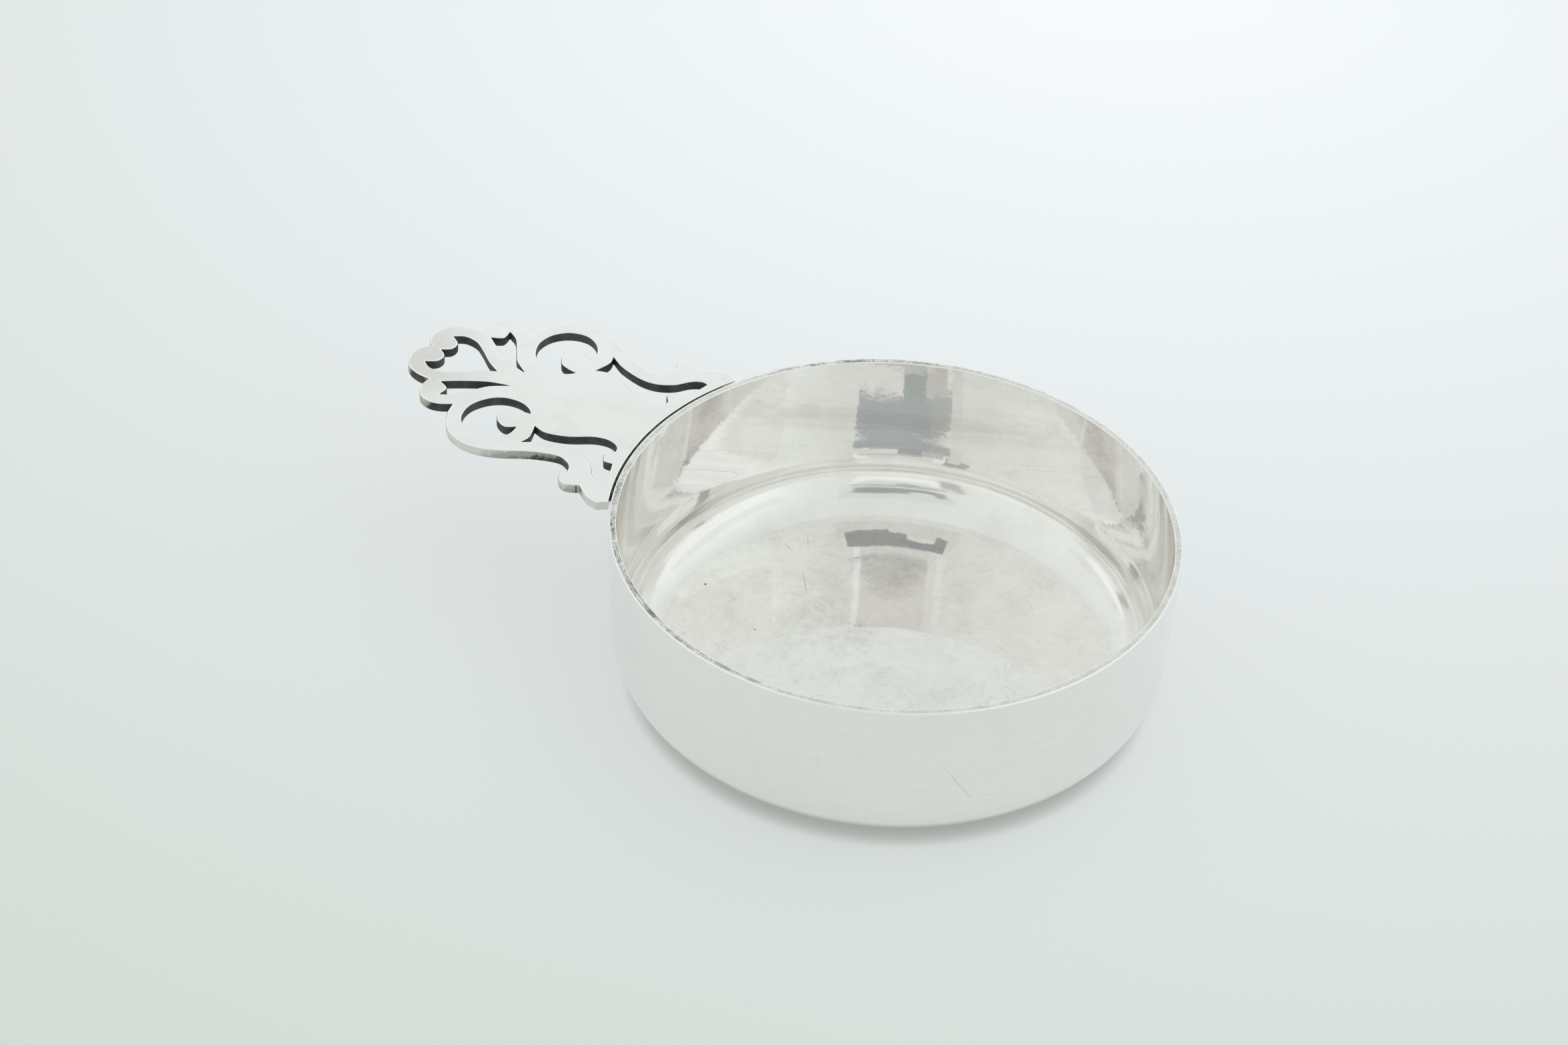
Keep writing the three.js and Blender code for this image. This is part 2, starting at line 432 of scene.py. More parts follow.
def arc(radius, centre_r, centre_z, from_degrees, to_degrees, steps):
    """Points on a circle in the section, from one angle to another."""
    turn = np.radians(np.linspace(from_degrees, to_degrees, steps))
    return np.column_stack([centre_r + radius * np.cos(turn), centre_z + radius * np.sin(turn)])


def floor_line(steps):
    """The domed floor from just off the axis to the start of the corner."""
    radius = np.linspace(1.0, flat_radius, steps)
    return np.column_stack([radius, dome(radius)])


def leaning_wall(steps):
    """The outside of the wall: it eases from the corner out to the rim as half a cosine."""
    share = np.linspace(0, 1, steps)
    lean = (RIM_THICKNESS - WALL_THICKNESS) * (1 - np.cos(np.pi * share)) / 2
    height = CORNER_RADIUS + share * (rim_height - STRAIGHT_BAND - CORNER_RADIUS)
    return np.column_stack([flat_radius + CORNER_RADIUS + lean, height])


def rim_line():
    """Over the rim: a rounded edge, an almost flat top and the other rounded edge, with a
    narrow collar below each rounding that keeps its shading off the wall."""
    low = rim_height - RIM_CROWN
    outer = arc(RIM_ROUNDING, rim_radius - RIM_ROUNDING, low - RIM_ROUNDING, 0, 90, 7)
    inner_r, inner_z = inside_radius + INNER_ROUNDING, low - INNER_ROUNDING
    inner = arc(INNER_ROUNDING, inner_r, inner_z, 90, 180, 7)
    share = np.linspace(0, 1, 9)[1:-1, None]
    top = outer[-1] * (1 - share) + inner[0] * share
    top[:, 1] += RIM_CROWN * np.sin(np.pi * share[:, 0])
    collar = [0, -COLLAR]
    return np.vstack([outer[:1] + collar, outer, top, inner, inner[-1:] + collar])


# %% [markdown]
# The inside of the floor isn't the outside moved up. Its reflections show how it runs: from the
# middle it falls very gently to a lowest ring, and then it curls up in a wide easy curve before
# the tight corner begins. So it is drawn by its slope, and the height is the slope summed up.

# %% The floor inside
LOW_RADIUS = 42.5
LOW_HEIGHT = 0.9
BLEND_RADIUS = 52.6
BLEND_DEGREES = 9.0
INNER_CORNER_HEIGHT = 14.4
FLOOR_SLOPE = 0.0255
SLOPE_STARTS = 27.0
SLOPE_ENDS = 4.0


def smooth(share):
    """A smooth step from 0 to 1: three squares less two cubes."""
    share = np.clip(share, 0, 1)
    return share * share * (3 - 2 * share)


def inside_floor_line(steps):
    """The floor inside, drawn by its slope. The height is the slope summed up."""
    end = flat_radius + inner_corner * math.sin(math.radians(BLEND_DEGREES))
    radius = np.linspace(1.0, end, steps)
    eased = smooth((LOW_RADIUS - radius) / SLOPE_ENDS) * smooth(radius / SLOPE_STARTS)
    falling = -FLOOR_SLOPE * eased
    slope = np.where(radius > LOW_RADIUS, (radius - LOW_RADIUS) / BLEND_RADIUS, falling)
    climbed = np.cumsum((slope[1:] + slope[:-1]) / 2 * np.diff(radius))
    height = np.concatenate([[0], climbed])
    return np.column_stack([radius, LOW_HEIGHT + height - height.min()])


# %% [markdown]
# Now the sections are joined into one closed line: from the middle of the underside out, up the
# outside, over the rim, down the inside and back to the middle of the floor.

# %% The whole profile
underside = floor_line(30)
outer_corner = arc(CORNER_RADIUS, flat_radius, CORNER_RADIUS, -90, 0, 28)[1:]
outside_wall = leaning_wall(16)[1:]
rim = rim_line()
wall_ends = [[inside_radius, rim_height - RIM_BAND], [inside_radius, INNER_CORNER_HEIGHT]]
inside_wall = np.linspace(*wall_ends, 14)[:-1]
inside_corner = arc(inner_corner, flat_radius, INNER_CORNER_HEIGHT, 0, BLEND_DEGREES - 90, 36)
inside_floor = inside_floor_line(80)[::-1][1:]
floor_middle = inside_floor[-1, 1]

outside = [underside, outer_corner, outside_wall]
inside = [inside_wall, inside_corner, inside_floor]
profile = np.vstack([*outside, rim, *inside])
print(f"the bowl's profile has {len(profile)} points")

# %% [markdown]
# A grid of points is joined into four-cornered faces by numbering: each point with its
# neighbour along the profile and its neighbour round the circle. The two middles of the floor
# are closed by a fan of triangles round one point each.

# %% The bowl
AROUND = 360


def grid_faces(rows, columns):
    """Corners of the faces between neighbouring points, closed on itself along the columns."""
    row, column = np.meshgrid(np.arange(rows - 1), np.arange(columns), indexing="ij")
    beside = (column + 1) % columns
    here = row * columns
    there = here + columns
    corners = np.stack([here + column, here + beside, there + beside, there + column], -1)
    return corners.reshape(-1, 4)


def turned(profile, around):
    """The profile carried round the bowl's axis: radius times cosine and radius times sine."""
    angle = np.arange(around) * 2 * np.pi / around
    radius = profile[:, :1]
    x = axis_x + radius * np.cos(angle)
    y = radius * np.sin(angle)
    z = np.broadcast_to(profile[:, 1:], x.shape)
    return np.stack([x, y, z], -1).reshape(-1, 3)


def fan(middle, ring, outward):
    """Triangles from one point to a ring of points."""
    beside = np.roll(ring, -1)
    pair = (ring, beside) if outward else (beside, ring)
    return np.column_stack([np.full(len(ring), middle), *pair])


points = turned(profile, AROUND)
quads = grid_faces(len(profile), AROUND)
middles = [[axis_x, 0, FLOOR_RISE], [axis_x, 0, floor_middle]]
first_ring = np.arange(AROUND)
last_ring = len(points) - AROUND + first_ring
below = fan(len(points), first_ring, False)
above_floor = fan(len(points) + 1, last_ring, True)
bowl_faces = [*quads.tolist(), *below.tolist(), *above_floor.tolist()]
bowl = placed("silver_bowl", np.vstack([points, middles]), bowl_faces)
bowl.data.shade_smooth()
print(f"the bowl has {len(bowl.data.polygons)} faces")

# %% [markdown]
# The handle is sawn and filed from plate 2.5 mm thick in one of the old pierced patterns of
# porringers: two tall scrolls with curled ends, slots and an open tip. Its outline is drawn
# once for one half, as runs of points between the cusps, and a smooth curve goes through each
# run. The numbers are [outward from the rim, sideways from the middle], in millimetres.

# %% The pattern of the handle
outer_runs = [
    [[-3.5, 29.1], [-0.9, 28.6], [0.9, 27.5], [2.9, 26.0]],
    [[2.9, 26.0], [4.7, 26.9], [6.2, 27.3], [7.6, 26.8], [9.0, 25.3]],
    [[9.0, 25.3], [8.1, 23.5], [8.7, 21.4], [10.1, 20.2], [13.0, 19.5], [18.5, 21.4],
     [24.5, 24.9], [28.5, 26.6], [33.1, 27.2], [37.5, 25.9], [40.4, 23.4], [42.6, 19.8],
     [43.5, 16.3]],
    [[43.5, 16.3], [45.9, 17.8], [48.5, 18.4], [51.2, 17.6], [53.1, 15.4], [53.7, 13.4],
     [53.5, 11.1]],
    [[53.5, 11.1], [56.8, 11.0], [60.1, 9.5], [62.0, 6.6], [62.5, 3.6], [61.6, 1.4], [60.4, 0]],
]
scroll_opening = [
    [[26.6, 9.5], [29.0, 9.8], [31.3, 10.8], [32.7, 13.5], [31.6, 15.7], [28.9, 16.9],
     [26.6, 15.5]],
    [[26.6, 15.5], [26.7, 18.7], [28.9, 21.7], [32.4, 23.1], [36.3, 22.0], [39.1, 18.9],
     [39.8, 14.5], [38.0, 10.3], [34.8, 7.7], [31.1, 7.1], [28.2, 8.0], [26.6, 9.5]],
]
long_slot = [
    [[22.6, 19.6], [22.0, 17.0], [23.2, 12.9]],
    [[23.2, 12.9], [20.2, 13.7], [16.4, 12.8], [13.5, 11.4], [9.8, 9.0], [6.5, 8.2],
     [3.7, 9.2], [3.0, 11.5], [4.4, 13.5]],
    [[4.4, 13.5], [3.2, 15.3], [1.1, 15.2]],
    [[1.1, 15.2], [-0.2, 18.6], [-1.1, 22.4]],
    [[-1.1, 22.4], [0.5, 22.5], [2.7, 21.0], [5.1, 18.0], [8.7, 16.0], [13.0, 15.7],
     [18.8, 17.3], [22.6, 19.6]],
]
small_slot = [
    [[36.5, 3.1], [41.4, 4.6], [46.7, 7.7], [50.5, 10.4]],
    [[50.5, 10.4], [48.0, 11.8], [48.1, 14.7]],
    [[48.1, 14.7], [45.4, 12.9], [42.6, 8.9], [40.3, 5.8], [36.5, 3.1]],
]
tip_opening = [
    [[42.1, 0], [45.6, 2.0], [49.5, 5.1], [52.5, 7.0], [55.7, 7.3], [58.0, 5.9]],
    [[58.0, 5.9], [55.9, 4.5], [55.3, 2.8], [55.8, 1.2], [57.5, 0]],
]
STEPS = 12


def curve_through(run):
    """A smooth curve through the points of a run: between two points it is the cubic whose
    slope at each is half the way from the point before to the point after."""
    p = np.array(run, float)
    before = np.vstack([p[:1], p[:-1]])[:-1]
    after = np.vstack([p[1:], p[-1:]])[1:]
    start, end = p[:-1], p[1:]
    slope_in, slope_out = (end - before) / 2, (after - start) / 2
    t = (np.arange(STEPS) / STEPS)[None, :, None]
    start, end, slope_in, slope_out = (a[:, None, :] for a in (start, end, slope_in, slope_out))
    along = start * (2 * t**3 - 3 * t**2 + 1) + end * (3 * t**2 - 2 * t**3)
    sloping = slope_in * (t**3 - 2 * t**2 + t) + slope_out * (t**3 - t**2)
    return (along + sloping).reshape(-1, 2)


def outline(runs):
    """All runs of an edge one after another, each without its last point."""
    return np.vstack([curve_through(run) for run in runs])


def on_part(drawn, sign):
    """Places in the part of drawn points: outward runs along -X, sideways along Y."""
    return np.column_stack([axis_x - rim_radius - drawn[:, 0], sign * drawn[:, 1]])


half_edge = np.vstack([outline(outer_runs), outer_runs[-1][-1:]])
edge_length = np.linalg.norm(np.diff(half_edge, axis=0), axis=1).sum()
print(f"half the outer edge is {edge_length:.0f} mm long")

# %% [markdown]
# The plate is its outline carried down from the top face to the bottom face, with a small
# rounding at both edges where the file and long years of polishing took the corner off. At
# each point of the outline the rounding moves square to the edge, and at a cusp along the line
# between the two edges. The two flat faces are then filled with triangles round the openings.

# %% The handle
HANDLE_ROUNDING = 0.4
SEAM_GAP = 0.5
joint_radius = rim_radius + SEAM_GAP


def area(loop):
    """Twice the signed area inside a loop, which is positive where it runs anticlockwise."""
    ahead_of = np.roll(loop, -1, axis=0)
    return float(np.sum(loop[:, 0] * ahead_of[:, 1] - loop[:, 1] * ahead_of[:, 0]))


def directed(loop, anticlockwise):
    """The loop, turned round if it runs the wrong way."""
    return loop if (area(loop) > 0) == anticlockwise else loop[::-1]


def into_metal(loop):
    """At each point the direction that leads into the metal, a little longer at a corner."""
    step = np.roll(loop, -1, axis=0) - loop
    step = step / np.linalg.norm(step, axis=1, keepdims=True)
    left = np.column_stack([-step[:, 1], step[:, 0]])
    both = left + np.roll(left, 1, axis=0)
    spread = np.maximum(1 + np.sum(left * np.roll(left, 1, axis=0), axis=1, keepdims=True), 0.5)
    return both / spread


def joint_arc():
    """The hollow end of the handle, on a circle a seam's width outside the rim."""
    corner = on_part(half_edge[:1], 1)[0]
    reach = math.atan2(corner[1], axis_x - corner[0])
    angle = np.linspace(-reach, reach, 97)[1:-1]
    x, y = axis_x - joint_radius * np.cos(angle), joint_radius * np.sin(angle)
    return np.column_stack([x, y])


def edge_profile(top, bottom):
    """How far in from the edge and how high: round the upper edge, down and round the lower.
    A narrow collar on both sides of each rounding keeps its shading off the flat faces."""
    turn = np.radians(np.linspace(90, 0, 6))
    inset = HANDLE_ROUNDING * (1 - np.cos(turn))
    drop = HANDLE_ROUNDING * (1 - np.sin(turn))
    flat_end = HANDLE_ROUNDING + COLLAR
    rounded = np.column_stack([inset, top - drop])
    upper = np.vstack([[flat_end, top], rounded, [0, top - flat_end]])
    return np.vstack([upper, upper[::-1] * [1, -1] + [0, top + bottom]])


plate_edge = np.vstack([on_part(half_edge, 1), on_part(half_edge, -1)[::-1][1:], joint_arc()])
loops = [directed(plate_edge, True)]
for sign in (1, -1):
    for opening in (scroll_opening, long_slot, small_slot):
        loops.append(directed(on_part(outline(opening), sign), False))
tip_half = np.vstack([outline(tip_opening), tip_opening[-1][-1:]])
tip_loop = np.vstack([on_part(tip_half, 1), on_part(tip_half, -1)[::-1][1:-1]])
loops.append(directed(tip_loop, False))
print(f"the handle has {len(loops) - 1} openings")

# %% [markdown]
# Each loop gets its own band of faces from the top down to the underside, and each band its own
# finishes: the flat row belongs to the top, the rows where the upper rounding starts to the
# bright edge, and the rest to the wall. Where the outer edge swells past its own smoothed line,
# hands rub it clean. That is worked out here, while the loops are at hand. The openings are
# never rubbed at all.

# %% The handle's surface
SMOOTHED_OVER = 20.0
SMOOTHING_REACH = 60
HALF_WORN = 0.5
WORN_PER_MM = 0.23
TIP_FROM, TIP_RUN, TIP_DARKER = -72.0, 10.0, 0.25
LEAST_WORN, MOST_WORN, OPENING_WORN = -0.1, 1.0, -0.2
ON_TOP, ON_WALL, ON_EDGE = 0, 1, 2
TOP_ROWS, EDGE_ROWS = 1, 4
FLAT_AREA = 1e-7
SHARP_DEGREES = 40


def swelling(loop):
    """How far each point stands out of the outline smoothed over a few millimetres."""
    steps = range(-SMOOTHING_REACH, SMOOTHING_REACH + 1)
    share = np.exp(-np.array(steps) ** 2 / (2 * SMOOTHED_OVER**2))
    share = share / share.sum()
    shifts = [np.roll(loop, step, axis=0) * part for step, part in zip(steps, share)]
    return -np.sum((loop - np.sum(shifts, axis=0)) * into_metal(loop), axis=1)


handle_points = []
handle_faces = []
top_loops = []
worn = []
finish = []
count = 0
rounding = edge_profile(handle_high[2], handle_low[2])
for number, loop in enumerate(loops):
    inward = into_metal(loop)
    edges = [np.column_stack([loop + inward * inset, np.full(len(loop), height)])
             for inset, height in rounding]
    handle_points.append(np.vstack(edges))
    handle_faces += (grid_faces(len(edges), len(loop))[:, ::-1] + count).tolist()
    if number == 0:
        at_tip = smooth((TIP_FROM - loop[:, 0]) / TIP_RUN)
        clean = HALF_WORN + swelling(loop) * WORN_PER_MM - at_tip * TIP_DARKER
        clean = np.clip(clean, LEAST_WORN, MOST_WORN)
    else:
        clean = np.full(len(loop), OPENING_WORN)
    worn.append(np.tile(clean, len(edges)))
    row = np.arange(len(edges) - 1)
    of_row = np.where(row < TOP_ROWS, ON_TOP, np.where(row < EDGE_ROWS, ON_EDGE, ON_WALL))
    finish.append(np.repeat(of_row, len(loop)))
    top_loops.append(edges[0])
    count += len(edges) * len(loop)

lengths = np.array([len(loop) for loop in loops])
starts = np.cumsum([0, *(lengths * len(rounding))])
on_top = np.concatenate([start + np.arange(size) for start, size in zip(starts, lengths)])
drop_to_bottom = np.repeat(lengths * (len(rounding) - 1), lengths)
drawn_loops = [[Vector(point) for point in loop] for loop in top_loops]
triangles = np.array(geometry.tessellate_polygon(drawn_loops))
corner = np.vstack(top_loops)[triangles]
crossed = np.cross(corner[:, 1] - corner[:, 0], corner[:, 2] - corner[:, 0])[:, 2]
triangles = np.where(crossed[:, None] > 0, triangles, triangles[:, ::-1])
triangles = triangles[np.abs(crossed) > FLAT_AREA]
handle_faces += on_top[triangles].tolist()
handle_faces += (on_top + drop_to_bottom)[triangles][:, ::-1].tolist()
handle_worn = np.concatenate(worn)
handle_finish = np.concatenate([*finish, np.full(2 * len(triangles), ON_TOP)])
handle = placed("silver_handle", np.vstack(handle_points), handle_faces)
handle.data.shade_smooth()
handle.data.set_sharp_from_angle(angle=math.radians(SHARP_DEGREES))
print(f"the handle has {len(handle.data.polygons)} faces")

# %% [markdown]
# Solder runs into a joint and stops a little below the surface, as a thin hollow line. It is a
# small closed section carried along the joint.

# %% The solder
SEAM_SAG = 0.12
seam_reach = math.asin(solder_high[1] / joint_radius)
seam_angle = np.linspace(-seam_reach, seam_reach, 121)
across = np.linspace(0, 1, 7)
seam_top = np.column_stack([
    rim_radius + across * SEAM_GAP,
    solder_high[2] - SEAM_SAG * np.sin(np.pi * across),
])
seam_bottom = seam_top[::-1] * [1, 0] + [0, solder_low[2]]
seam_section = np.vstack([seam_top, seam_bottom])
seam_points = np.stack([
    axis_x - np.cos(seam_angle)[:, None] * seam_section[:, 0],
    np.sin(seam_angle)[:, None] * seam_section[:, 0],
    np.broadcast_to(seam_section[:, 1], (len(seam_angle), len(seam_section))),
], -1).reshape(-1, 3)
seam_faces = grid_faces(len(seam_angle), len(seam_section)).tolist()
start_cap = list(range(len(seam_section)))
end_cap = [len(seam_points) - 1 - number for number in start_cap]
seam = placed("solder_seam", seam_points, [*seam_faces, start_cap[::-1], end_cap[::-1]])
print(f"the seam is {2 * seam_reach * joint_radius:.0f} mm long")

# %% [markdown]
# Silver is a bare metal: it mirrors nine tenths of the light and warms it a little with every
# bounce. What tells old silver from chrome is its surface. The last polish was done in rings
# round the bowl, so fine rings lie over everything, the hammered sheet is never quite even, and
# long use has crossed it with hair scratches. Rings are noise that hardly changes round the
# bowl and changes fast along the profile, where radius plus height grows steadily.

# %% Helpers for metal
SILVER = (0.93, 0.92, 0.905)
BLACK = (0.10, 0.09, 0.08)


def finish_of(name, build):
    """A material whose shader is made by a function of the net and the place in millimetres,
    measured from the bowl's axis."""
    material = bpy.data.materials.new(name)
    net = Net(material)
    spot = net.wire("ShaderNodeTexCoord", output=3)
    to_mm = {"Location": (-axis_x, 0, 0), "Scale": (1 / MM, 1 / MM, 1 / MM)}
    place = net.wire("ShaderNodeMapping", None, {"Vector": spot, **to_mm})
    net.add("ShaderNodeOutputMaterial", None, {"Surface": build(net, place)})
    return material


def metal(net, colour, roughness, normal, metallic=1.0):
    """The metal shader with what varies over it."""
    sockets = {"Base Color": opaque(colour), "Metallic": metallic, "Roughness": roughness}
    return net.wire("ShaderNodeBsdfPrincipled", None, {**sockets, "Normal": normal})


def from_axis(net, place):
    """The distance from the bowl's axis."""
    return net.measure("LENGTH", net.vector("MULTIPLY", place, (1, 1, 0)))


def rings(net, place, spacing, length=20.0, detail=2.0):
    """Polishing rings: noise drawn out round the axis, about a spacing apart."""
    x, y, z = net.split(place)
    across = (from_axis(net, place) + z) / spacing
    return net.noise(net.join(x / length, y / length, across), 1.0, detail)


def hairlines(net, place, degrees, length, width, seed):
    """Hair scratches one way: the level line of noise that is drawn out along them, broken up
    by a second noise."""
    turn = {"Rotation": (0, 0, math.radians(degrees)), "Location": (seed, 0, 0)}
    turned_place = net.wire("ShaderNodeMapping", None, {"Vector": place, **turn})
    x, y, z = net.split(turned_place)
    drawn = net.noise(net.join(x / length, y / width, z / width), 1.0, 1.0)
    line = abs(drawn - 0.5).ramp(0.004, 0.016, 1.0, 0.0)
    broken = net.noise(turned_place, 0.1, 1.0).ramp(0.56, 0.66)
    return line * broken


def bumped(net, height, distance, normal=None):
    """The normal of a surface raised by a height times a distance in millimetres."""
    sockets = {"Height": height, "Distance": distance * MM, "Strength": 1.0}
    if normal is not None:
        sockets["Normal"] = normal
    return net.wire("ShaderNodeBump", None, sockets)


def clamped(net, wire):
    """The wire kept between 0 and 1."""
    return net.wire("ShaderNodeClamp", None, {0: wire})


def near_line(net, place, start, end, width):
    """One on the straight mark between two points, and none past its width."""
    start, end = np.array(start, float), np.array(end, float)
    span = end - start
    away = net.vector("SUBTRACT", place, tuple(start))
    share = clamped(net, net.measure("DOT_PRODUCT", away, tuple(span / (span @ span))))
    foot = net.wire("ShaderNodeVectorMath", {"operation": "SCALE"}, {0: tuple(span), 3: share})
    return net.measure("DISTANCE", away, foot).ramp(width * 0.4, width, 1.0, 0.0)


def near_point(net, place, centre, radius, core=0.0):
    """One at a point, out to its core, and none past a radius round it."""
    return net.measure("DISTANCE", place, centre).ramp(core, radius, 1.0, 0.0)


print("the helpers for metal are ready")

# %% [markdown]
# The inside is the brightest part, and it has had spoons and hot food in it. Over the rings lie
# hair scratches in three directions, a few long scratches and four small pits, and clouds and
# stains of pale brown where old tarnish was never quite polished out. The floor is scraped as
# well: two noises drawn out in different directions look like many short scrapes. The corner is
# a little rougher, because a cloth doesn't reach it well, and the last hammer marks show there
# as soft dents.

# %% The finish of the inside
CLOUDED = (0.85, 0.83, 0.81)
MOTTLED = (0.80, 0.77, 0.75)
SCRAPED = (0.66, 0.64, 0.62)
STAIN_STRENGTH = 0.35
SCRATCH_WIDTH = 0.18
SCRATCH_DEPTH = 0.32
FLOOR_TOP = (1.4, 2.6)
DENTED_FROM = (42.0, 50.0)
CORNER_LOW, CORNER_HIGH = (2.0, 3.5), (11.0, 13.0)
FLOOR_Z = 1.1
pits = [((-48.9, 1.7, 1.5), 0.5, 0.2), ((-61.1, 4.9, 7.0), 0.5, 0.2),
        ((-24.0, 6.5, FLOOR_Z), 0.3, 0.1), ((-31.0, -6.0, FLOOR_Z), 0.28, 0.1)]
scratches = [((-41.4, 25.2), (-35.3, 22.2)), ((-35.3, 22.2), (-28.4, 12.9)),
             ((-39.4, 43.3), (-38.7, 31.5)), ((-38.7, 31.5), (-33.6, 22.8)),
             ((-33.6, 22.8), (-30.2, 20.0)), ((8.4, 23.6), (9.9, 22.3))]
stains = [((-12.5, 29.5, FLOOR_Z), 9.0, (0.66, 0.60, 0.56)),
          ((-25.0, 11.5, FLOOR_Z), 11.0, (0.66, 0.63, 0.60)),
          ((16.0, 24.0, FLOOR_Z), 9.0, (0.87, 0.85, 0.75)),
          ((-27.0, 1.5, FLOOR_Z), 6.0, (0.80, 0.77, 0.64)),
          ((-13.0, -2.0, FLOOR_Z), 17.0, (0.58, 0.51, 0.49)),
          ((33.0, 1.0, FLOOR_Z), 12.0, (0.62, 0.56, 0.54)),
          ((-41.9, 10.2, FLOOR_Z), 1.6, (0.45, 0.43, 0.42)),
          ((-41.1, 1.0, FLOOR_Z), 1.4, (0.45, 0.43, 0.42))]


def inside_finish(net, place):
    """Rings, uneven sheet, hairlines, a few real scratches and pits, and cloudy stains. The
    floor, where spoons have scraped, has more of all of these than the wall."""
    x, y, z = net.split(place)
    on_floor = z.ramp(*FLOOR_TOP, 1.0, 0.0)
    fine = rings(net, place, 0.5)
    broad = rings(net, place, 5.0, 30.0, 1.0)
    uneven = net.noise(place, 0.05, 2.0)
    hair = hairlines(net, place, 20, 24.0, 0.7, 0.0)
    hair = hair + hairlines(net, place, -50, 30.0, 0.8, 31.0)
    hair = hair + hairlines(net, place, 80, 20.0, 0.7, 57.0)
    cloud = net.noise(place, 0.09, 5.0, 0.6)
    mottle = net.noise(place, 0.5, 4.0, 0.7)
    scrapes = net.noise(net.join((x + y) / 4.0, x - y, z), 1.0, 3.0, 0.7)
    scrapes = scrapes + net.noise(net.join((x - 2 * y) / 6.0, x + y / 2, z), 1.0, 3.0, 0.7)
    scrapes = scrapes.ramp(0.9, 1.35, 0.0, 0.28) * cloud.ramp(0.42, 0.62, 0.25, 1.0)
    colour = net.mix(cloud.ramp(0.4, 0.75, 0.0, 0.6), SILVER, CLOUDED)
    mottled = mottle.ramp(0.45, 0.7, 0.0, 0.16) * (1 + on_floor)
    colour = net.mix(mottled, colour, MOTTLED)
    colour = net.mix(scrapes * on_floor, colour, SCRAPED)
    for centre, reach, tint in stains:
        patch = near_point(net, place, centre, reach) * (cloud + mottle).ramp(0.85, 1.25)
        colour = net.mix(patch * STAIN_STRENGTH, colour, tint)
    marks = hair * (0.07 + on_floor * 0.08)
    for start, end in scratches:
        scratch = near_line(net, place, (*start, FLOOR_Z), (*end, FLOOR_Z), SCRATCH_WIDTH)
        marks = marks + scratch * SCRATCH_DEPTH
    for centre, reach, core in pits:
        marks = marks + near_point(net, place, centre, reach, core)
    colour = net.mix(clamped(net, marks), colour, BLACK)
    turn_up = from_axis(net, place).ramp(*DENTED_FROM)
    dents = net.noise(place, 0.13, 3.0, 0.6) * turn_up
    normal = bumped(net, uneven, 0.026)
    normal = bumped(net, dents, 0.03, normal)
    normal = bumped(net, broad, 0.002, normal)
    normal = bumped(net, fine, 0.0003, normal)
    corner = z.ramp(*CORNER_LOW) * z.ramp(*CORNER_HIGH, 1.0, 0.0)
    roughness = fine.ramp(0.3, 0.8, 0.03, 0.06) + corner * 0.06
    return metal(net, colour, roughness, normal)


silver_inside = finish_of("silver_inside", inside_finish)
print(f"the inside has {len(scratches)} scratches, {len(pits)} pits and {len(stains)} stains")

# %% [markdown]
# The outside is handled more than it is polished, so it is softer: the rings are wider and show
# a little in the colour, the mirror is dull, and there are knocks, each a straight mark between
# two places on the wall.

# %% The finish of the outside
DULLED = (0.88, 0.88, 0.87)
RINGED = (0.80, 0.80, 0.79)
OUTSIDE_ROUGHNESS = 0.12
knocks = [((37.8, -50.4, 29.0), (46.8, -42.2, 10.9), 0.3, 0.13),
          ((5.4, -62.8, 16.3), (5.7, -62.7, 14.7), 0.25, 0.5),
          ((12.4, -61.8, 13.6), (12.8, -61.7, 12.8), 0.3, 0.8),
          ((17.8, -60.4, 12.0), (18.7, -60.2, 11.5), 0.25, 0.5),
          ((9.2, -62.3, 39.5), (14.3, -61.4, 38.6), 0.4, 0.25),
          ((58.4, -23.7, 11.9), (59.1, -21.9, 12.2), 0.5, 0.3),
          ((15.3, -61.1, 19.9), (16.4, -60.8, 28.1), 0.25, 0.04)]


def outside_finish(net, place):
    """The same rings, softer, with the scratches of handling."""
    fine = rings(net, place, 0.9, 9.0, 3.0)
    uneven = net.noise(place, 0.04, 1.0)
    hair = hairlines(net, place, 75, 9.0, 0.7, 12.0)
    cloud = net.noise(place, 0.06, 4.0, 0.6)
    colour = net.mix(cloud.ramp(0.4, 0.75, 0.0, 0.5), SILVER, DULLED)
    colour = net.mix(fine.ramp(0.5, 0.75, 0.0, 0.22), colour, RINGED)
    marks = hair * 0.08
    for start, end, width, depth in knocks:
        marks = marks + near_line(net, place, start, end, width) * depth
    colour = net.mix(clamped(net, marks), colour, BLACK)
    normal = bumped(net, uneven, 0.04)
    normal = bumped(net, fine, 0.001, normal)
    return metal(net, colour, OUTSIDE_ROUGHNESS, normal)


silver_outside = finish_of("silver_outside", outside_finish)
print(f"the outside has {len(knocks)} knocks")

# %% [markdown]
# The rim is rubbed clean along both edges by every cloth that goes round it, and both edges are
# painted brighter than bare silver, a painted highlight of their roundings. The flat between them
# is grey, and tarnish stays there in mottled streaks, most of all in front on the left and behind
# the handle.

# %% The finish of the rim
# The rim's edges: rubbed clean, and painted brighter than bare silver as a painted highlight.
RUBBED_AND_HIGHLIGHT = (0.97, 0.97, 0.965)
RIM_GREY = [(0.90, 0.89, 0.88), (0.76, 0.74, 0.72)]
RIM_TARNISH = (0.16, 0.14, 0.13)
TARNISH_STRENGTH = 0.85
RIM_ROUGHNESS = 0.2
OFF_MIDDLE = 0.06
FRONT_LEFT = (-38.0, -48.0, rim_height)
BEHIND_HANDLE = (-38.0, 50.0, rim_height)


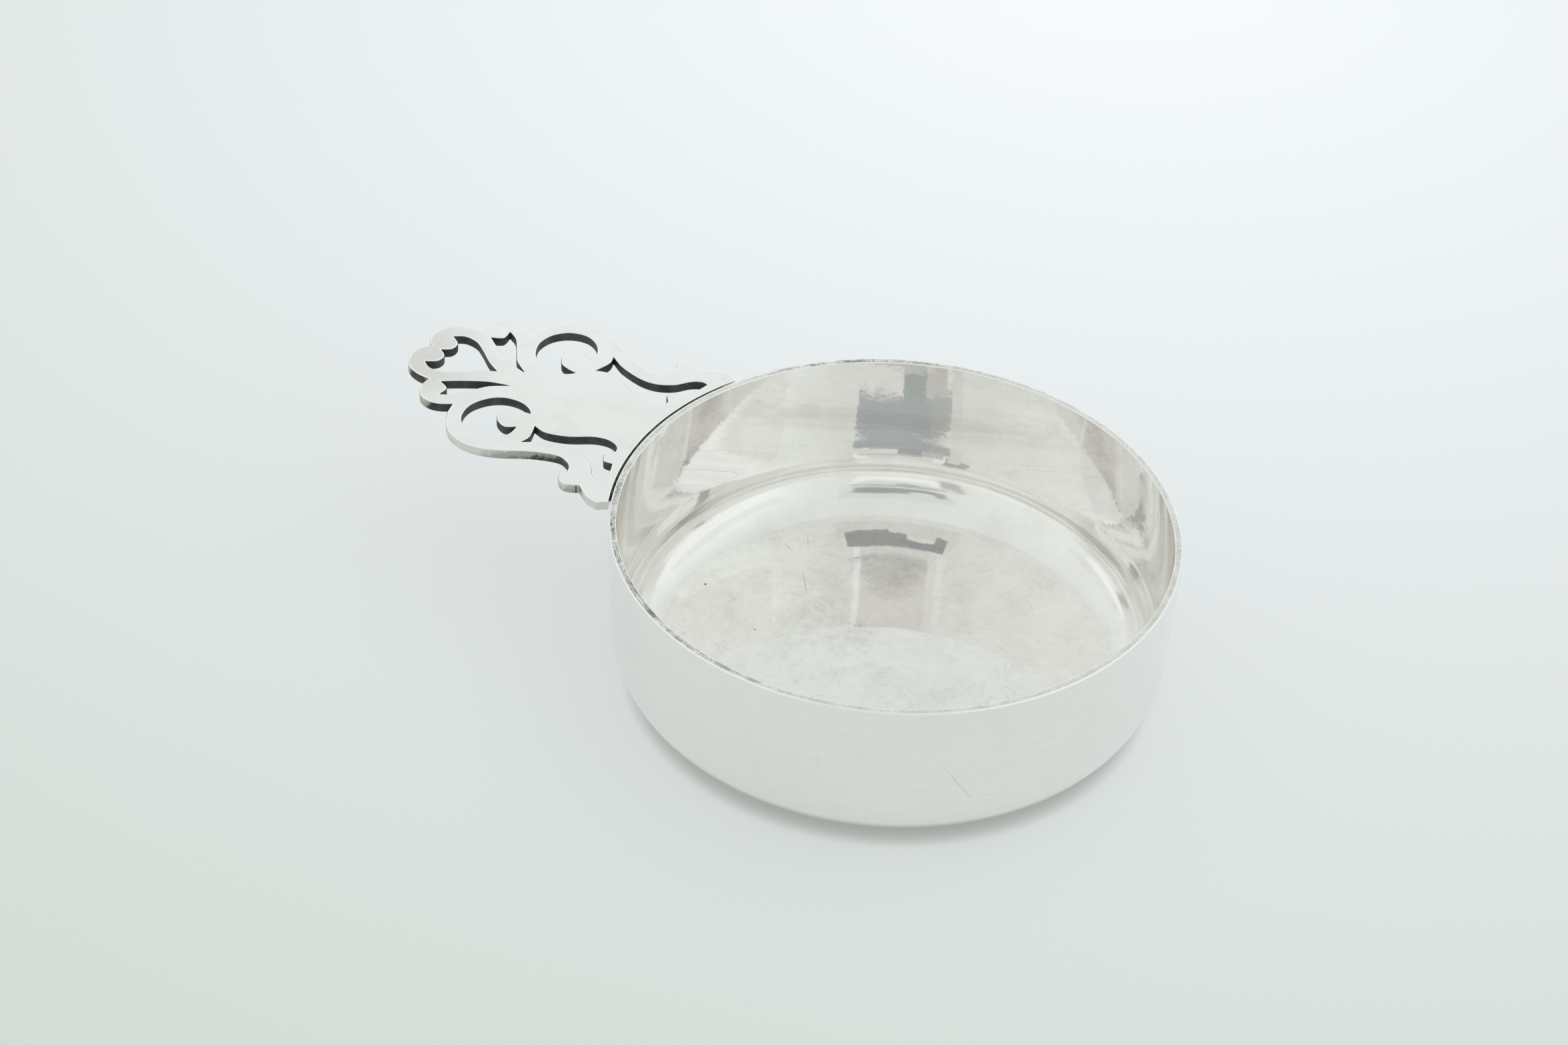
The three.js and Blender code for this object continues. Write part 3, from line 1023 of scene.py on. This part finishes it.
def rim_finish(net, place):
    """Rubbed clean on both edges and painted brighter there as a painted highlight, grey between
    them, with old tarnish along the middle.
    """
    radius = from_axis(net, place)
    middle = abs(radius - (rim_radius + inside_radius) / 2 + OFF_MIDDLE)
    between = middle.ramp(0.48, 0.62, 1.0, 0.0)
    smudge = net.noise(place, 0.22, 5.0, 0.65)
    speck = net.noise(place, 1.5, 4.0, 0.75)
    streak = rings(net, place, 0.3, 4.0)
    front_left = near_point(net, place, FRONT_LEFT, 58.0, 14.0)
    behind = near_point(net, place, BEHIND_HANDLE, 34.0, 6.0)
    where = clamped(net, front_left + behind * 0.8 + 0.12)
    tarnish = (smudge * 0.5 + speck * 0.45 + streak * 0.35).ramp(0.56, 0.78) * where
    grey = net.mix((smudge + speck).ramp(0.8, 1.2), *RIM_GREY)
    # The edges take the painted highlight colour, the middle the grey.
    colour = net.mix(between, RUBBED_AND_HIGHLIGHT, grey)
    colour = net.mix(tarnish * between * TARNISH_STRENGTH, colour, RIM_TARNISH)
    normal = bumped(net, net.noise(place, 0.8, 4.0), 0.02)
    return metal(net, colour, RIM_ROUGHNESS, normal)


silver_rim = finish_of("silver_rim", rim_finish)
print("the rim's finish is made")

# %% [markdown]
# The handle wears in another way. Its top is rubbed flat and satin, and every edge of it is rubbed
# and painted brighter and shinier than the top, a painted highlight along the rounded edges.

# %% The finish of the handle's top and edges
SATIN = (0.97, 0.98, 0.98)
SATIN_CLOUD = (0.88, 0.88, 0.87)
TIP_GREY = (0.78, 0.75, 0.73)
TIP_PLACE = (-126.0, -6.0, rim_height)
HAIR_GREY = (0.4, 0.39, 0.37)
# A painted highlight along the handle's rounded edges, on rubbed metal.
RUBBED_EDGE_AND_HIGHLIGHT = (0.985, 0.985, 0.98)
EDGE_ROUGHNESS = 0.1


def top_finish(net, place):
    """Satin silver with faint clouds, greyer at the tip."""
    cloud = net.noise(place, 0.08, 4.0, 0.6)
    tip = near_point(net, place, TIP_PLACE, 24.0, 6.0)
    colour = net.mix(cloud.ramp(0.4, 0.7, 0.0, 0.7), SATIN, SATIN_CLOUD)
    colour = net.mix(tip * cloud.ramp(0.2, 0.5, 0.4, 0.9), colour, TIP_GREY)
    hair = hairlines(net, place, 35, 6.0, 0.6, 3.0) + hairlines(net, place, -30, 7.0, 0.6, 17.0)
    colour = net.mix(hair * 0.15, colour, HAIR_GREY)
    normal = bumped(net, net.noise(place, 0.06, 2.0), 0.04)
    normal = bumped(net, net.noise(place, 1.3, 3.0), 0.002, normal)
    return metal(net, colour, cloud.ramp(0.3, 0.7, 0.16, 0.24), normal)


def edge_rub_and_highlight_finish(net, place):
    """Every edge of the handle is rubbed, and painted bright and shiny as a painted highlight."""
    normal = bumped(net, net.noise(place, 0.5, 3.0), 0.01)
    return metal(net, RUBBED_EDGE_AND_HIGHLIGHT, EDGE_ROUGHNESS, normal)


silver_top = finish_of("silver_top", top_finish)
silver_edge_rub_and_highlight = finish_of("silver_edge_rub_and_highlight", edge_rub_and_highlight_finish)
print("the handle's top and edges have their finishes")

# %% [markdown]
# The sawn walls are never polished. In the openings long years of tarnish have turned them
# black. On the outer edge hands keep the swelling parts clean, while the hollows between them
# go brown and black. How far the edge swells is worked out with the mesh and kept on it as an
# attribute. Two small saw cuts beside one knob and the ends of two lobes are dark as well.

# %% The finish of the handle's walls
BLACKENED = [(0.03, 0.032, 0.032), (0.09, 0.09, 0.088)]
BROWNED = (0.46, 0.435, 0.405)
RUBBED_GREY = (0.77, 0.75, 0.73)
CUTS = [(-66.5, -26.5), (-66.95, -26.5)]
CUT_LOW, CUT_HIGH = 38.0, 41.0
CUT_WIDTH = 0.3
LOBE_ENDS = [(-109.6, -18.0, 39.6), (-120.8, -10.4, 39.6)]
LOBE_DARKER = 0.55
NEAR_RIM = (-73.0, -66.0)


def wall_finish(net, place):
    """Black tarnish in the hollows, mottled brown where it wears, and rubbed grey on what
    swells."""
    worn = net.wire("ShaderNodeAttribute", {"attribute_name": "worn"}, None, 2)
    x, y, z = net.split(place)
    height = z.ramp(handle_low[2], handle_high[2])
    speck = net.noise(place, 1.3, 5.0, 0.7)
    cloud = net.noise(place, 0.25, 3.0)
    # Cover also grows with height, so the walls are lighter towards the top and darker towards the
    # bottom.
    cover = worn + (speck - 0.5) * 0.8 + (cloud - 0.5) * 0.6 + (height - 0.6) * 0.3
    for cut in CUTS:
        sawn = near_line(net, place, (*cut, CUT_LOW), (*cut, CUT_HIGH), CUT_WIDTH)
        cover = cover - sawn * 1.2
    for lobe_end in LOBE_ENDS:
        cover = cover - near_point(net, place, lobe_end, 4.0, 1.0) * LOBE_DARKER
    # The walls are also lighter near the rim.
    cover = cover + x.ramp(*NEAR_RIM) * 0.15
    black = net.mix(cloud.ramp(0.3, 0.7), *BLACKENED)
    colour = net.mix(cover.ramp(0.02, 0.4), black, BROWNED)
    colour = net.mix(cover.ramp(0.5, 0.95), colour, RUBBED_GREY)
    normal = bumped(net, speck, 0.04)
    roughness = cover.ramp(0.2, 0.8, 0.6, 0.28)
    metallic = cover.ramp(0.1, 0.7, 0.3, 1.0)
    return metal(net, colour, roughness, normal, metallic)


tarnished_walls = finish_of("tarnished_walls", wall_finish)
print("the handle's walls have their finish")

# %% [markdown]
# Solder is duller than silver and can't be polished in its groove, and the seam is painted nearly
# black as well: painted shade of a deep gap, which the shallow groove of the mesh doesn't make.

# %% The finish of the solder
# Painted shade of a deep gap, and dull solder darkened the same way.
GROOVE_SHADE = (0.015, 0.014, 0.013)
SOLDER_IN_SHADE = (0.12, 0.11, 0.10)


def solder_finish(net, place):
    """Dull solder, painted nearly black in blotches as painted shade of the gap."""
    blotch = net.noise(place, 0.9, 4.0, 0.6)
    colour = net.mix(blotch.ramp(0.35, 0.65), GROOVE_SHADE, SOLDER_IN_SHADE)
    return metal(net, colour, 0.55, bumped(net, blotch, 0.05), 0.5)


old_solder = finish_of("old_solder", solder_finish)
print("the solder has its finish")

# %% [markdown]
# Each face takes the finish of the place it is in, because old silver is worn in different ways
# inside, outside and on its edges. On the bowl the place is the stretch of the profile that the
# face was made from. On the handle it was noted when its surface was made, and how far its edge
# is worn goes onto the mesh as an attribute that the finish reads.

# %% Which face has which finish
OUTSIDE, RIM, INSIDE = 0, 1, 2


def paint_faces(piece, materials, numbers):
    """Gives the piece its materials, and each face the number of one of them."""
    for material in materials:
        piece.data.materials.append(material)
    piece.data.polygons.foreach_set("material_index", np.asarray(numbers, np.int32))


rows = np.repeat(np.arange(len(profile) - 1), AROUND)
rim_start = sum(len(section) for section in outside)
rim_end = rim_start + len(rim)
bowl_finish = np.where(rows < rim_end - 1, RIM, INSIDE)
bowl_finish = np.where(rows < rim_start, OUTSIDE, bowl_finish)
fans = np.repeat([OUTSIDE, INSIDE], AROUND)
paint_faces(bowl, [silver_outside, silver_rim, silver_inside], [*bowl_finish, *fans])
paint_faces(handle, [silver_top, tarnished_walls, silver_edge_rub_and_highlight], handle_finish)
paint_faces(seam, [old_solder], np.zeros(len(seam.data.polygons)))
swell = handle.data.attributes.new("worn", "FLOAT", "POINT")
swell.data.foreach_set("value", handle_worn.astype(np.float32))
print(f"the outer edge swells by {handle_worn.max():.2f} at most")

# %% [markdown]
# Last, each new piece is tied to the frame: it rides on the one body and stands for its solid,
# which is hidden. Inside a bowl of silver the light goes from wall to wall many times, so the
# render has to follow it further than usual.

# %% Tying the pieces to the frame
MIRROR_BOUNCES = 24

for piece, node, slot in [
    (bowl, "bowl", "silver"),
    (handle, "handle", "silver"),
    (seam, "handle_solder", "solder"),
]:
    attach(piece, "root")
    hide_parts(node)

bpy.context.scene.view_settings.view_transform = "Standard"
bpy.context.scene.cycles.max_bounces = MIRROR_BOUNCES
bpy.context.scene.cycles.glossy_bounces = MIRROR_BOUNCES
visual_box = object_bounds()
sizes = {"cad": [list(c) for c in cad_box], "visual": [list(c) for c in visual_box]}
for name, (low, high) in sizes.items():
    print(name, [round((b - a) / MM, 2) for a, b in zip(low, high)])
